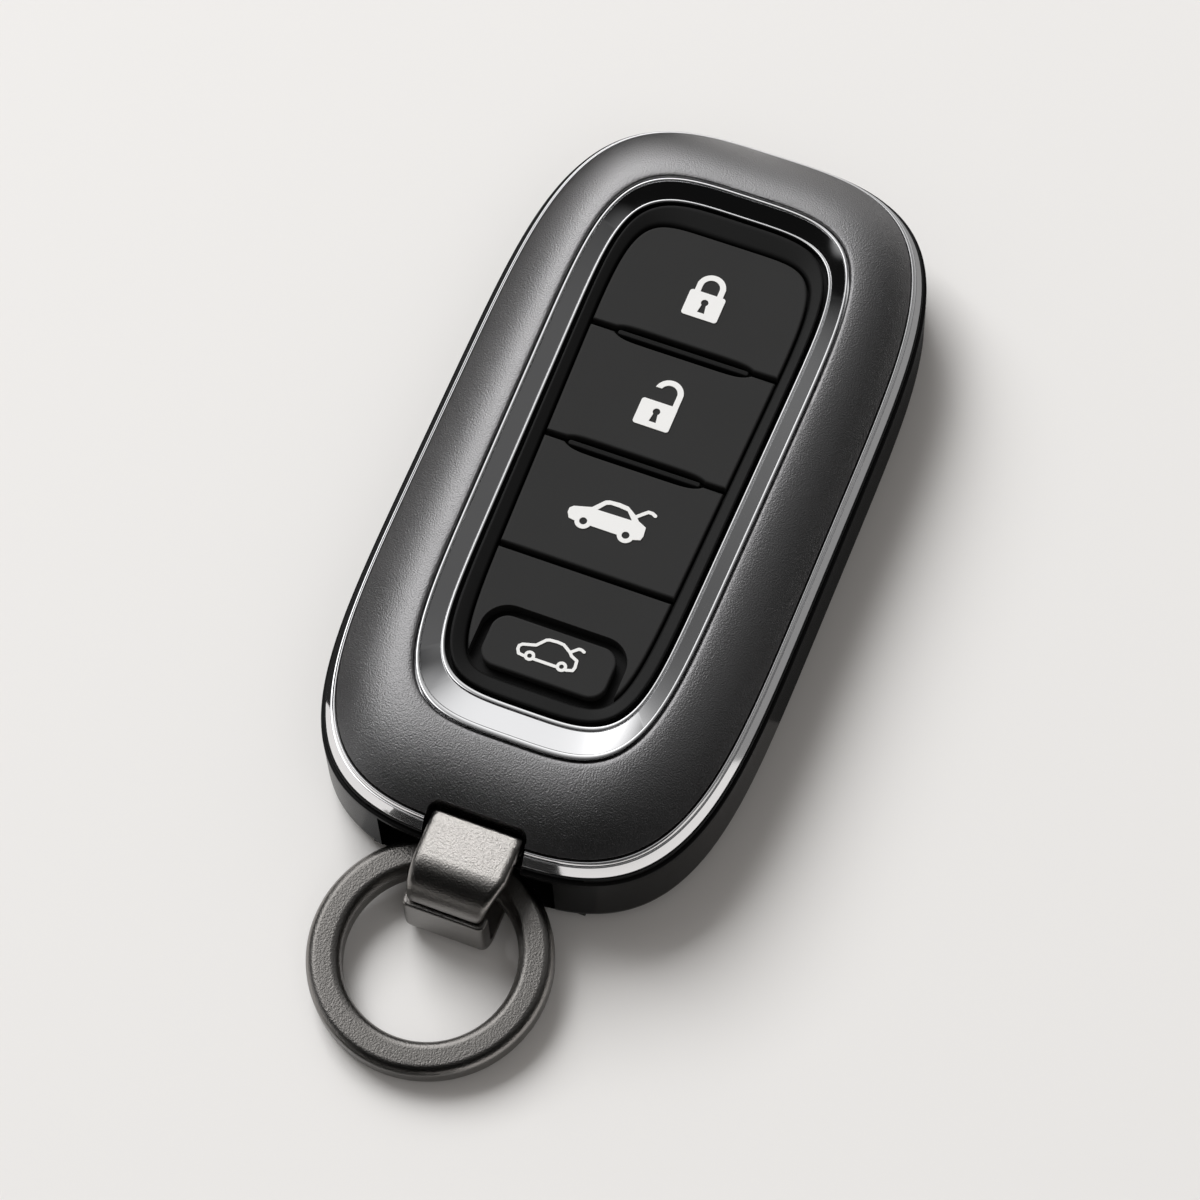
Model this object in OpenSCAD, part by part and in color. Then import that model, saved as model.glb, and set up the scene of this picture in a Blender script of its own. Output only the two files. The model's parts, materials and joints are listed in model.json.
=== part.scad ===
// A two-shell cover for a car's keyless fob, with a soft keypad in a framed window and a hook for a key ring.
// The origin is at the centre of the flat back face, +Z points out of the buttons and -Y towards the key ring.

/* [Case outline] */
// Width of the front at its lower edge
case_w = 44; // [42:0.5:47]
// Length of the front at its lower edge
case_l = 87.6; // [85:0.2:92]
// How square the long sides are, as a superellipse power
side_power = 3.4; // [3:0.1:4]
// How square the two ends are, as a superellipse power
end_power = 4.75; // [4:0.25:5.5]

/* [Heights] */
// Height of the back shell's rim
back_h = 9.7; // [9:0.1:12]
// Thickness of the soft line between the two halves
line_t = 0.4; // [0.3:0.05:0.6]
// Height of the chrome band
band_h = 1.96; // [1.6:0.02:2.4]
// Rise of the dome from the band to the window's lip
dome_h = 3.34; // [3:0.02:4]
// Rise of the dome's crest over the window's lip
crest_h = 0.1; // [0.05:0.05:0.3]

/* [Front shell] */
// Width of the frame beside the window
shell_side = 7.15; // [6.8:0.05:7.6]
// Width of the frame at the far end
shell_top = 7.72; // [7:0.02:8.4]
// Width of the frame at the ring's end
shell_bottom = 9.52; // [9:0.02:10.2]
// Thickness of the shell at the window's lip
shell_t = 1.4; // [1.2:0.1:1.6]
// Width of the shell's seat on the band
seat_w = 1.2; // [1:0.1:1.5]
// Set-back of the shell's edge from the band's edge
edge_step = 0.2; // [0.1:0.05:0.3]
// Chamfer under the shell's edge
edge_chamfer = 0.3; // [0.2:0.05:0.4]
// How full the dome is, as a power
dome_power = 1.8; // [1.6:0.1:2.2]
// Gap between the notch and the strap
notch_gap = 0.45; // [0.3:0.05:0.6]
// Depth of the notch from the end of the front
notch_d = 1.9; // [1.7:0.1:2.1]
// Radius of the notch's corners
notch_r = 1.1; // [0.6:0.1:1.4]

/* [Window bezel] */
// Widening of the window towards the far end
window_widening = 0.6; // [0.3:0.1:0.9]
// Width of the bezel at the sides
bezel_side = 2.56; // [2.2:0.02:2.9]
// Width of the bezel at the far end
bezel_top = 2.46; // [2.2:0.02:2.9]
// Width of the bezel at the ring's end
bezel_bottom = 4.6; // [4.2:0.1:5]
// Drop of the bezel's face from outside to inside
bezel_drop = 1.26; // [1:0.02:1.5]
// Gap between the front shell and the bezel
bezel_gap = 0.15; // [0.1:0.05:0.25]
// Reach of the bezel's flange under the shell
flange_w = 0.9; // [0.7:0.1:1.1]
// Width of the polished bead round the bezel
bead_w = 0.35; // [0.25:0.05:0.45]
// Height of the bead over the window's lip
bead_h = 0.12; // [0.05:0.01:0.2]

/* [Keypad] */
// Width of the keypad's rim at the sides
rim_side = 1.9; // [1.7:0.05:2.2]
// Width of the keypad's rim at the far end
rim_top = 3.25; // [2.9:0.05:3.6]
// Width of the keypad's rim at the ring's end
rim_bottom = 2.43; // [2.2:0.01:2.8]
// Gap between the bezel and the rim
rim_gap = 0.4; // [0.3:0.05:0.5]
// Rise of the rim's outer edge over the buttons
rim_rise = 0.35; // [0.2:0.05:0.5]
// Drop of the buttons' faces from the window's lip
key_drop = 1.28; // [1.1:0.02:1.5]
// Thickness of the keypad's web
web_t = 0.65; // [0.5:0.05:0.8]
// Distance of the finger ribs' ends from the keypad's sides
rib_inset = 2.8; // [2.4:0.1:3.6]
// Thickness of the finger ribs
rib_t = 0.68; // [0.5:0.02:0.8]

/* [Buttons] */
// Length of the lock button's field
lock_l = 14.32; // [13.6:0.02:15]
// Length of the unlock button's field
unlock_l = 14.45; // [13.8:0.05:15]
// Length of the trunk button's field
trunk_l = 14.1; // [13.4:0.1:14.8]
// Length of the field round the hatch button; the four fields share the keypad's length in these proportions
lower_l = 14.75; // [14:0.05:15.5]
// Thickness of the pads
pad_t = 1; // [0.8:0.05:1.2]
// Travel of every button
travel = 0.5; // [0.3:0.05:0.7]
// Gap round each pad
pad_gap = 0.33; // [0.25:0.01:0.4]
// Extra gap on the far side of a finger rib
far_gap = 0.42; // [0.3:0.02:0.6]
// Extra gap on the near side of a finger rib
near_gap = 0.7; // [0.5:0.05:0.9]
// Width of the small hatch button as a share of the keypad's width
hatch_share = 0.675; // [0.64:0.005:0.7]
// Length of the small hatch button
hatch_l = 6.1; // [5.4:0.1:6.5]
// Corner radius of the small hatch button
hatch_r = 1.9; // [1.4:0.1:2.4]
// Width of the recess round the hatch button
moat = 1.15; // [0.9:0.05:1.3]
// Radius of the plungers under the pads
plunger_r = 1.5; // [1.2:0.1:1.8]

/* [Signs] */
// Height of the raised signs
sign_t = 0.1; // [0.05:0.01:0.2]
// Width of the padlocks' bodies
padlock_w = 4.1; // [3.6:0.1:4.6]
// Width of the filled car
car_w = 8.85; // [8:0.05:9.4]
// Line thickness of the outlined car
car_line = 0.34; // [0.25:0.01:0.45]

/* [Chrome band] */
// How far the band's lower edge stands out from the front
band_out = 1.1; // [0.8:0.05:1.3]
// Width of the band's foot inside the outline
band_foot = 1; // [0.8:0.05:1.1]

/* [Back shell] */
// How far the back shell's wall stands out from the front
back_out = 1.45; // [1.2:0.05:1.6]
// Thickness of the back shell's wall
wall_t = 1.45; // [1.3:0.05:1.6]
// Thickness of the back shell's floor
floor_t = 1.2; // [1:0.1:1.5]
// Radius of the back shell's lower edge
edge_r = 2.6; // [2:0.1:3]
// Width of the recess behind the ring
recess_w = 19.8; // [19.6:0.1:20.4]
// Depth of the recess from the end of the front
recess_d = 3.15; // [3:0.05:3.4]
// Thickness of the recess's walls
recess_t = 1.2; // [1:0.1:1.4]

/* [Inner tray] */
// Thickness of the tray's floor
tray_floor = 0.8; // [0.6:0.1:1]
// Thickness of the lip that locates the front
lip_t = 0.95; // [0.8:0.05:1.1]
// Height of the lip over the soft line
lip_h = 1.5; // [1.2:0.05:1.7]
// Thickness of the tray's end wall
tray_end = 1.2; // [1:0.1:1.5]
// Distance of the tray's end wall from the end of the front
tray_inset = 7.7; // [7.5:0.1:8.4]

/* [Loop] */
// Width of the strap at its pin
strap_w = 10.1; // [9.8:0.1:10.4]
// Width of the strap's free end
strap_low_w = 8.4; // [8:0.1:8.8]
// Thickness of the strap
strap_t = 1.4; // [1.2:0.05:1.6]
// Outer radius of the strap's bend
strap_r = 4; // [3.4:0.1:4.4]
// Height of the strap's outer face
strap_top = 12.3; // [12.1:0.05:12.6]
// Height of the strap's free end
strap_end = 8; // [7.6:0.1:8.3]
// Radius of the strap's rounded side edges
strap_edge = 0.7; // [0.4:0.05:0.9]
// Radius of the strap's pin
pin_r = 0.4; // [0.35:0.05:0.45]
// Radius of the strap's knuckles round the pin
knuckle_r = 1.35; // [1.3:0.05:1.5]
// Length of the strap behind its pin
heel_l = 1.2; // [0.9:0.1:1.2]
// Width of the hook
hook_w = 9.2; // [9:0.1:9.6]
// Place of the hook's middle across the case
hook_x = -0.6; // [-0.7:0.1:0]
// Radius of the hook's lower corners
hook_corner = 1; // [0.7:0.1:1.1]
// Reach of the hook from the end of the front
hook_reach = 8.1; // [7.8:0.1:8.6]
// Thickness of the hook's nose
nose_t = 1.7; // [1.4:0.1:2]
// Thickness of the hook's arm
arm_t = 1.1; // [1:0.05:1.2]
// Height of the arm over the table
arm_lift = 0.3; // [0.2:0.05:0.4]
// Outer radius of the hook's bend
hook_r = 2.4; // [1.8:0.1:2.8]
// Gap between the nose and the strap
nose_gap = 0.45; // [0.3:0.05:0.6]
// Thickness of the hook's back plate
plate_t = 0.7; // [0.6:0.05:0.8]
// Width of the lug between the strap's knuckles
lug_w = 3.4; // [3:0.1:4]
// Width of the hook's tongue inside the case
tongue_w = 7.2; // [6.6:0.1:7.8]
// Thickness of the hook's tongue
tongue_t = 1; // [0.8:0.1:1.2]
// Height of the tongue's underside
tongue_z = 4.2; // [3.8:0.1:4.8]

/* [Key ring] */
// Radius of the ring's centre line
ring_r = 11.08; // [10.8:0.02:11.4]
// Half the thickness of the ring's wire
wire_r = 1.86; // [1.7:0.02:1.9]
// Radius of the wire's rounded corners
wire_edge = 1.1; // [1:0.05:1.3]
// Place of the ring's centre across the case
ring_x = -0.9; // [-1:0.1:0]

/* [Screws] */
// Thickness of the keypad's retainer
retainer_t = 0.7; // [0.6:0.05:0.9]
// Radius of the small screws' shanks
screw_r = 0.6; // [0.5:0.02:0.65]
// Radius of the small screws' heads
head_r = 1.1; // [1:0.05:1.2]
// Height of the small screws' heads
head_h = 0.6; // [0.5:0.05:0.7]
// Radius of the bosses
boss_r = 1.3; // [1.2:0.05:1.4]
// Distance of the retainer's bosses from the outline
boss_inset = 3.9; // [3.8:0.1:4.1]
// Distance between the retainer's bosses along a side, as a share of the front's length
pitch_share = 0.26; // [0.24:0.01:0.27]
// Distance between the hook's two screws
hook_pitch = 4.4; // [4:0.1:4.8]

/* [Hidden] */

// Points round an outline, and steps along the dome
ROUND_STEPS = 96;
DOME_STEPS = 9;
INNER_STEPS = 4;
$fn = 40;

// Small fits and gaps
fit = 0.1;
seam_gap = 0.05;
seat_gap = 0.02;
bore_gap = 0.05;
clearance = 0.25;
overrun = 1;
sink = 0.2;
lug_wall = 0.4;
strap_rebate = 0.4;
widening_step = 0.25;
sign_drop = 1.3;
small_car_share = 0.47;

// Shares of the sizes that they follow
crest_share = 0.97;
lens_power = 9;
EDGE_SHARES = [-1, -0.97, -0.88, -0.65, -0.3, 0, 0.3, 0.65, 0.88, 0.97, 1];

// Levels above the table
line_z = back_h + seat_gap;
band_z = line_z + line_t + seam_gap;
edge_z = band_z + band_h;
window_z = edge_z + dome_h;
key_z = window_z - key_drop;
pad_z = key_z - pad_t;
web_z = pad_z - travel - fit;
retainer_z = web_z - web_t - retainer_t;
flange_z = window_z - shell_t - clearance;
lip_z = line_z + line_t + lip_h;
tray_z = floor_t + seat_gap;
fob_z = tray_z + tray_floor;
arm_z = arm_lift + arm_t;

// Places along the case
end_y = -case_l / 2;
recess_y = end_y + recess_d;
tray_y = end_y + tray_inset;
pin_y = end_y + notch_d - notch_gap - knuckle_r;
pin_z = strap_top - knuckle_r;
foot_z = pin_z - 2 * knuckle_r;
root_z = foot_z - knuckle_r;
plate_y = recess_y - seat_gap - plate_t;
nose_y = end_y - hook_reach;
strap_y = nose_y + strap_rebate;
screw_y = (recess_y + recess_t + tray_y) / 2;
notch_w = strap_w + 2 * notch_gap;
recess_side = recess_w / 2 + recess_t + abs(ring_x);
lug_r = pin_r + lug_wall;

// An outline is [half width, widening at the far end, centre, half length, side power, end power]
function case_outline(grow) = [case_w / 2 + grow, 0, 0, case_l / 2 + grow, side_power, end_power];
function framed(half_w, taper, low, high, sides, ends) =
    [half_w, taper, (high + low) / 2, (high - low) / 2, sides, ends];
function grow(o, by) = o + [by, 0, 0, by, 0, 0];
function mix(a, b, share) = a * (1 - share) + b * share;

window_low = end_y + shell_bottom;
window_high = -end_y - shell_top;
window_half = case_w / 2 - shell_side;
bezel_half = window_half - bezel_side;
key_half = bezel_half - rim_side;
key_widening = window_widening + widening_step;
key_low = window_low + bezel_bottom + rim_bottom;
key_high = window_high - bezel_top - rim_top;
window = framed(window_half, window_widening, window_low, window_high, 3.81, 5.95);
bezel = framed(bezel_half, window_widening, window_low + bezel_bottom, window_high - bezel_top, 3.99, 7.9);
keys = framed(key_half, key_widening, key_low, key_high, 6.24, 7.05);
spread = (key_high - key_low) / (lock_l + unlock_l + trunk_l + lower_l);
divide_1 = key_high - lock_l * spread;
divide_2 = divide_1 - unlock_l * spread;
divide_3 = divide_2 - trunk_l * spread;
rib_l = 2 * (key_half - rib_inset);
lens_half = rib_l / 2 + near_gap / 2;
hatch_w = 2 * key_half * hatch_share;
hatch_run = hatch_l * spread;
hatch_y = key_low + moat + hatch_run / 2;
small_car_w = hatch_w * small_car_share;
rib_shift = (near_gap - far_gap) / 2 + rib_t / 8;

// Signed power, point on an outline, half width at a place and the outline's angle there
function signed(v, p) = sign(v) * pow(abs(v), p);
function spot(o, a) = let (v = signed(sin(a), 2 / o[5]))
    [(o[0] + o[1] * v) * signed(cos(a), 2 / o[4]), o[2] + o[3] * v];
function outline(o) = [for (i = [0 : ROUND_STEPS - 1]) spot(o, 360 * i / ROUND_STEPS)];
function half_at(o, y) = let (v = (y - o[2]) / o[3])
    (o[0] + o[1] * v) * pow(max(0, 1 - pow(abs(v), o[5])), 1 / o[4]);
function angle_at(o, y) = asin(max(-1, min(1, signed((y - o[2]) / o[3], o[5] / 2))));
function end_at(o, x) = o[3] * pow(1 - pow(abs(x) / o[0], o[4]), 1 / o[5]);
function middle(points) = [for (k = [0 : 2]) let (v = [for (p = points) p[k]]) (max(v) + min(v)) / 2];
function lift(points, z) = [for (p = points) [p[0], p[1], z]];
function arc(centre, r, from, to, steps) =
    [for (i = [0 : steps]) let (a = from + (to - from) * i / steps) centre + r * [cos(a), sin(a)]];

// Height of the dome's face and of its underside at a share of the way from the edge to the window
function dome(share) = share < crest_share
    ? edge_z + edge_chamfer + (dome_h - edge_chamfer + crest_h) * (1 - pow(1 - share / crest_share, dome_power))
    : window_z + crest_h * (1 - pow((share - crest_share) / (1 - crest_share), 2));
function underside(share) = edge_z + (dome_h - shell_t) * (1 - pow(1 - share, dome_power));

// Skin between rings of points, closed on itself or capped at both ends
module skin(rows, closed) {
    n = len(rows[0]);
    m = len(rows);
    last = closed ? m - 1 : m - 2;
    sides = [for (j = [0 : last], i = [0 : n - 1])
        let (a = j * n + i, b = j * n + (i + 1) % n, c = ((j + 1) % m) * n + (i + 1) % n, d = ((j + 1) % m) * n + i)
        each [[a, d, c], [a, c, b]]];
    ends = closed ? [] : [middle(rows[0]), middle(rows[m - 1])];
    caps = closed ? [] : [for (i = [0 : n - 1]) let (j = (i + 1) % n, k = (m - 1) * n)
        each [[m * n, i, j], [m * n + 1, k + j, k + i]]];
    polyhedron(concat([for (r = rows) each r], ends), concat(sides, caps), convexity = 8);
}

// Rows of a profile given as [growth, height] round the case
function round_case(profile) = [for (p = profile) lift(outline(case_outline(p[0])), p[1])];

// Plate with round corners, centred, and a solid from a side view
module round_plate(w, l, r) {
    square([w - 2 * r, l], center = true);
    square([w, l - 2 * r], center = true);
    for (x = [-1, 1], y = [-1, 1])
        translate([x * (w / 2 - r), y * (l / 2 - r)]) circle(r);
}
module side_view(w) {
    rotate([90, 0, 90]) linear_extrude(w, center = true) children();
}

// Room for the loop through the end of a shell
module end_notch(x, w, depth, r, low, high) {
    reach = back_out + depth + 2 * r + overrun;
    translate([x, end_y + depth - reach / 2, low]) linear_extrude(high - low) round_plate(w, reach, r);
}

module back_shell() {
    inner_r = edge_r - wall_t;
    outer = [for (p = arc([back_out - edge_r, edge_r], edge_r, -90, 0, 5)) p];
    rim = [[back_out, back_h - clearance], [back_out - clearance, back_h], [back_out - wall_t, back_h]];
    inner = [for (p = arc([back_out - wall_t - inner_r, floor_t + inner_r], inner_r, 0, -90, 3)) p];
    wall_y = -end_at(case_outline(back_out - wall_t / 2), recess_side);
    color("#26272a") difference() {
        union() {
            skin(round_case(concat(outer, rim, inner)), false);
            translate([-recess_side, wall_y, floor_t * 0.8])
                cube([2 * recess_side, recess_y + recess_t - wall_y, back_h - floor_t * 0.8]);
            for (s = [-1, 1])
                translate([s * hook_pitch / 2, screw_y, floor_t - sink])
                    cylinder(h = tongue_z - floor_t + sink - seat_gap, r = boss_r);
        }
        end_notch(ring_x, recess_w, recess_d, notch_r, floor_t, back_h + overrun);
        end_notch(hook_x, hook_w + 2 * fit, recess_d, fit, -overrun, floor_t + overrun);
        translate([-tongue_w / 2 - fit, recess_y - overrun, tongue_z - fit])
            cube([tongue_w + 2 * fit, recess_t + 2 * overrun, tongue_t + 2 * fit]);
        for (s = [-1, 1])
            translate([s * hook_pitch / 2, screw_y, floor_t])
                cylinder(h = tongue_z, r = screw_r + bore_gap);
    }
}

module inner_tray() {
    outer_r = edge_r - wall_t + fit;
    face = back_out - wall_t - fit;
    inside = -band_foot - fit - lip_t;
    outer = arc([face - outer_r, tray_z + outer_r], outer_r, -90, 0, 3);
    line = [[face, line_z], [band_out, line_z], [band_out, line_z + line_t], [inside + lip_t, line_z + line_t]];
    lip = [[inside + lip_t, lip_z], [inside, lip_z]];
    inner = arc([inside - tray_floor, fob_z + tray_floor], tray_floor, 0, -90, 2);
    side_x = recess_side + fit;
    wall_x = half_at(case_outline(inside), tray_y) + lip_t;
    color("#1b1b1d") union() {
        difference() {
            skin(round_case(concat(outer, line, lip, inner)), false);
            translate([-case_w, end_y - case_w, 0])
                cube([2 * case_w, tray_y - end_y + case_w, back_h - sink]);
            translate([-side_x, end_y - case_w, 0])
                cube([2 * side_x, tray_y - end_y + case_w, lip_z + overrun]);
        }
        translate([-wall_x, tray_y - sink, tray_z])
            cube([2 * wall_x, tray_end + sink, retainer_z - clearance - tray_z]);
    }
}

module hook_side() {
    back = plate_y + plate_t;
    nose_top = strap_end - nose_gap;
    inner_r = hook_r - arm_t;
    polygon(concat(
        [[back, foot_z], [back, arm_lift]],
        arc([nose_y + hook_r, arm_lift + hook_r], hook_r, -90, -180, 6),
        [[nose_y, nose_top - clearance], [nose_y + clearance, nose_top], [nose_y + nose_t, nose_top]],
        arc([nose_y + nose_t + inner_r, arm_z + inner_r], inner_r, 180, 270, 4),
        arc([plate_y - inner_r, arm_z + inner_r], inner_r, 270, 360, 4),
        [[plate_y, foot_z]]));
}

module ring_hook() {
    latch_y = strap_y + strap_t + fit;
    nose_top = strap_end - nose_gap;
    back = plate_y + plate_t;
    color("#8b8782") difference() {
        union() {
            translate([hook_x, 0, 0]) intersection() {
                side_view(hook_w) hook_side();
                translate([0, 0, (pin_z + arm_lift) / 2]) rotate([90, 0, 0])
                    linear_extrude(2 * case_l, center = true) round_plate(hook_w, pin_z - arm_lift, hook_corner);
            }
            translate([hook_x, 0, 0]) side_view(strap_low_w / 2) polygon([
                [nose_y + nose_t - sink, nose_top - strap_t], [latch_y, nose_top - strap_t],
                [latch_y + strap_t / 2, nose_top - strap_t / 2], [latch_y + strap_t / 2, nose_top + strap_t],
                [latch_y, nose_top + strap_t], [latch_y, nose_top], [nose_y + nose_t - sink, nose_top]]);
            side_view(lug_w) polygon(concat(
                arc([pin_y, pin_z], lug_r, 0, 180, 10),
                [[pin_y - lug_r, foot_z], [plate_y, root_z], [back, root_z], [back, foot_z],
                    [pin_y + lug_r, foot_z]]));
            translate([-tongue_w / 2, plate_y, tongue_z])
                cube([tongue_w, screw_y + head_r - plate_y, tongue_t]);
        }
        translate([0, pin_y, pin_z]) rotate([0, 90, 0]) cylinder(h = case_w, r = pin_r, center = true);
        for (s = [-1, 1])
            translate([s * hook_pitch / 2, screw_y, tongue_z - overrun])
                cylinder(h = tongue_t + 2 * overrun, r = screw_r + bore_gap);
    }
}

module screw(length) {
    cylinder(h = length, r = screw_r);
    translate([0, 0, -head_h]) cylinder(h = head_h, r = head_r);
}

module hook_screws() {
    color("#c9cacc") for (s = [-1, 1])
        translate([s * hook_pitch / 2, screw_y, tongue_z + tongue_t + seat_gap])
            mirror([0, 0, 1]) screw(tongue_z + tongue_t - floor_t - sink);
}

module strap_pin() {
    color("#c9cacc") translate([0, pin_y, pin_z]) rotate([0, 90, 0])
        cylinder(h = strap_w - 4 * fit, r = pin_r, center = true);
}

// The outer face's path: [place, height, lean of the face]
function strap_path() = let (bend_y = strap_y + strap_r, bend_z = strap_top - strap_r) concat(
    [[pin_y + heel_l - strap_edge / 2, strap_top, 0]],
    [for (a = [0 : 15 : 90]) [bend_y - strap_r * sin(a), bend_z + strap_r * cos(a), a]],
    [[strap_y, strap_end, 90]]);
// Section of the strap at a share of its bend: [across, towards the outer face]
function strap_section(share, in) = let (x = hook_x * share, half = mix(strap_w, strap_low_w, share) / 2 - in) concat(
    [[x - half, -strap_t]],
    arc([x - half + strap_edge, -strap_edge - in], strap_edge, 180, 90, 3),
    arc([x + half - strap_edge, -strap_edge - in], strap_edge, 90, 0, 3),
    [[x + half, -strap_t]]);

module loop_strap() {
    path = strap_path();
    face = [for (i = [len(path) - 1 : -1 : 0]) let (p = path[i]) [for (q = strap_section(p[2] / 90, 0))
        [q[0], p[0] - q[1] * sin(p[2]), p[1] + q[1] * cos(p[2])]]];
    heel = [for (q = strap_section(0, strap_edge / 2)) [q[0], pin_y + heel_l, strap_top + q[1]]];
    rows = concat(face, [heel]);
    half = strap_w / 2;
    slot_w = lug_w + 2 * fit;
    color("#97928c") difference() {
        union() {
            skin(rows, false);
            translate([0, pin_y, pin_z]) rotate([0, 90, 0]) rotate_extrude() polygon([[0, -half],
                [knuckle_r - strap_edge, -half], [knuckle_r, strap_edge - half], [knuckle_r, half - strap_edge],
                [knuckle_r - strap_edge, half], [0, half]]);
        }
        translate([0, pin_y, pin_z]) rotate([0, 90, 0]) {
            cylinder(h = strap_w + overrun, r = pin_r + bore_gap, center = true);
            cylinder(h = slot_w, r = lug_r + fit, center = true);
        }
        translate([-slot_w / 2, pin_y - lug_r - fit, pin_z - strap_r])
            cube([slot_w, 2 * knuckle_r + lug_r, strap_r + 3 * fit]);
    }
}

module key_ring() {
    wire_reach = (wire_r - wire_edge) * sqrt(2) + wire_edge;
    wire_y = plate_y - clearance - wire_reach;
    wire_z = arm_z + wire_reach + clearance;
    tilt = asin((wire_z - wire_r) / (2 * ring_r));
    color("#a29d96") translate([ring_x, wire_y - ring_r * cos(tilt), wire_z - ring_r * sin(tilt)])
        rotate([tilt, 0, 0]) rotate_extrude($fn = 96) translate([ring_r, 0])
            round_plate(2 * wire_r, 2 * wire_r, wire_edge);
}

boss_pitch = pitch_share * case_l;
boss_y = [-boss_pitch, 0, boss_pitch];
function boss_x(y) = half_at(case_outline(-boss_inset), y);
boss_share = (boss_inset - edge_step) / (shell_side - edge_step);
boss_top = dome(boss_share) - shell_t / 2;
boss_bore = boss_top - head_h;

module at_bosses(z) {
    for (s = [-1, 1], y = boss_y) translate([s * boss_x(y), y, z]) children();
}

module front_shell() {
    edge = case_outline(-edge_step);
    seat = case_outline(-edge_step - seat_w);
    face = [for (i = [0 : DOME_STEPS]) let (s = pow(i / DOME_STEPS, 1.3)) lift(outline(mix(edge, window, s)), dome(s))];
    inside = [for (i = [INNER_STEPS : -1 : 0]) let (s = i / INNER_STEPS)
        lift(outline(mix(seat, window, s)), underside(s))];
    chamfer = [lift(outline(case_outline(-edge_step - edge_chamfer)), edge_z)];
    boss_z = web_z - web_t + seat_gap;
    color("#66625e") difference() {
        union() {
            skin(concat(chamfer, face, inside), true);
            at_bosses(boss_z) cylinder(h = boss_top - boss_z, r = boss_r);
        }
        end_notch(0, notch_w, notch_d, notch_r, band_z - overrun, window_z + overrun);
        at_bosses(boss_z - overrun) cylinder(h = boss_bore - boss_z + overrun, r = screw_r + bore_gap);
    }
}

module side_trim_band() {
    profile = [[-band_foot, band_z], [band_out, band_z], [band_out, band_z + clearance], [fit, edge_z - fit],
        [0, edge_z - seat_gap], [-band_foot, edge_z - seat_gap]];
    color("#dfe1e4") difference() {
        skin(round_case(profile), true);
        end_notch(0, notch_w + 2 * fit, notch_d + overrun, notch_r, band_z - overrun, edge_z + overrun);
    }
}

module window_bezel() {
    outer = grow(window, -bezel_gap);
    low = web_z + seat_gap;
    rows = [[outer, window_z], [grow(outer, -fit), window_z + bead_h], [grow(outer, fit - bead_w), window_z + bead_h],
        [grow(outer, -bead_w), window_z - fit], [grow(bezel, bead_w), window_z - bezel_drop + fit],
        [grow(bezel, fit), window_z - bezel_drop + fit + bead_h], [bezel, window_z - bezel_drop - fit],
        [bezel, low], [grow(window, flange_w), low], [grow(window, flange_w), flange_z], [outer, flange_z]];
    color("#cfd1d4") skin([for (i = [len(rows) - 1 : -1 : 0]) lift(outline(rows[i][0]), rows[i][1])], true);
}

// Outline of one button's field, drawn in by a gap, with lens-shaped hollows where a finger rib passes
function lens(share, depth) = depth * (1 - pow(abs(share), lens_power));
function field(low, high, low_hollow, high_hollow, in, open_top, open_low) =
    let (o = grow(keys, -pad_gap / 3 - in), y0 = low + pad_gap + in, y1 = high - pad_gap - in,
        from = open_low ? -90 : angle_at(o, y0), to = open_top ? 90 : angle_at(o, y1),
        steps = open_top || open_low ? 14 : 4)
    concat(
        [for (i = [0 : steps]) spot(o, from + (to - from) * i / steps)],
        high_hollow == 0 ? [] : [for (i = [len(EDGE_SHARES) - 1 : -1 : 0]) let (s = EDGE_SHARES[i])
            [s * lens_half, y1 - lens(s, high_hollow)]],
        [for (i = [open_top ? 1 : 0 : open_low ? steps - 1 : steps]) spot(o, 180 - to + (to - from) * i / steps)],
        low_hollow == 0 ? [] : [for (s = EDGE_SHARES) [s * lens_half, y0 + lens(s, low_hollow)]]);

module pad(low, high, low_hollow, high_hollow, open_top, open_low, low_z) {
    soft = [[0, low_z], [0, key_z - clearance], [fit, key_z - fit / 2], [2 * fit + fit, key_z]];
    skin([for (p = soft) lift(field(low, high, low_hollow, high_hollow, p[0], open_top, open_low), p[1])], false);
}

module plunger(y) {
    translate([0, y, retainer_z + seat_gap]) cylinder(h = pad_z + sink - retainer_z, r = plunger_r);
}

lock_y = (key_high + divide_1) / 2;
unlock_y = (divide_1 + divide_2) / 2;
trunk_y = (divide_2 + divide_3) / 2;

module lock_button() {
    color("#3a3a3b") union() {
        pad(divide_1, key_high, far_gap, 0, true, false, pad_z);
        plunger(lock_y);
    }
}
module unlock_button() {
    color("#3a3a3b") union() {
        pad(divide_2, divide_1, far_gap, near_gap, false, false, pad_z);
        plunger(unlock_y);
    }
}
module trunk_button() {
    color("#3a3a3b") union() {
        pad(divide_3, divide_2, 0, near_gap, false, false, pad_z);
        plunger(trunk_y);
    }
}
module hatch_button() {
    soft = [[0, pad_z], [0, key_z - clearance], [fit, key_z - fit / 2], [3 * fit, key_z]];
    corner = [[1, 1, 0], [-1, 1, 90], [-1, -1, 180], [1, -1, 270]];
    rows = [for (p = soft) [for (c = corner)
        each lift(arc([c[0] * (hatch_w / 2 - hatch_r), hatch_y + c[1] * (hatch_run / 2 - hatch_r)],
            hatch_r - p[0], c[2], c[2] + 90, 6), p[1])]];
    color("#3a3a3b") union() {
        skin(rows, false);
        plunger(hatch_y);
    }
}

module lower_panel() {
    cut_l = hatch_run + 2 * moat;
    color("#373738") difference() {
        pad(key_low, divide_3, 0, 0, false, true, web_z + seat_gap);
        translate([0, hatch_y - moat / 2, web_z - overrun]) linear_extrude(pad_t + travel + 2 * overrun)
            round_plate(hatch_w + 2 * moat, cut_l + moat, hatch_r + moat);
    }
}

module finger_rib(y) {
    translate([0, y - rib_shift, web_z - sink]) linear_extrude(key_z - web_z + sink - fit)
        round_plate(rib_l, rib_t, rib_t / 2 - seat_gap);
}

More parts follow.
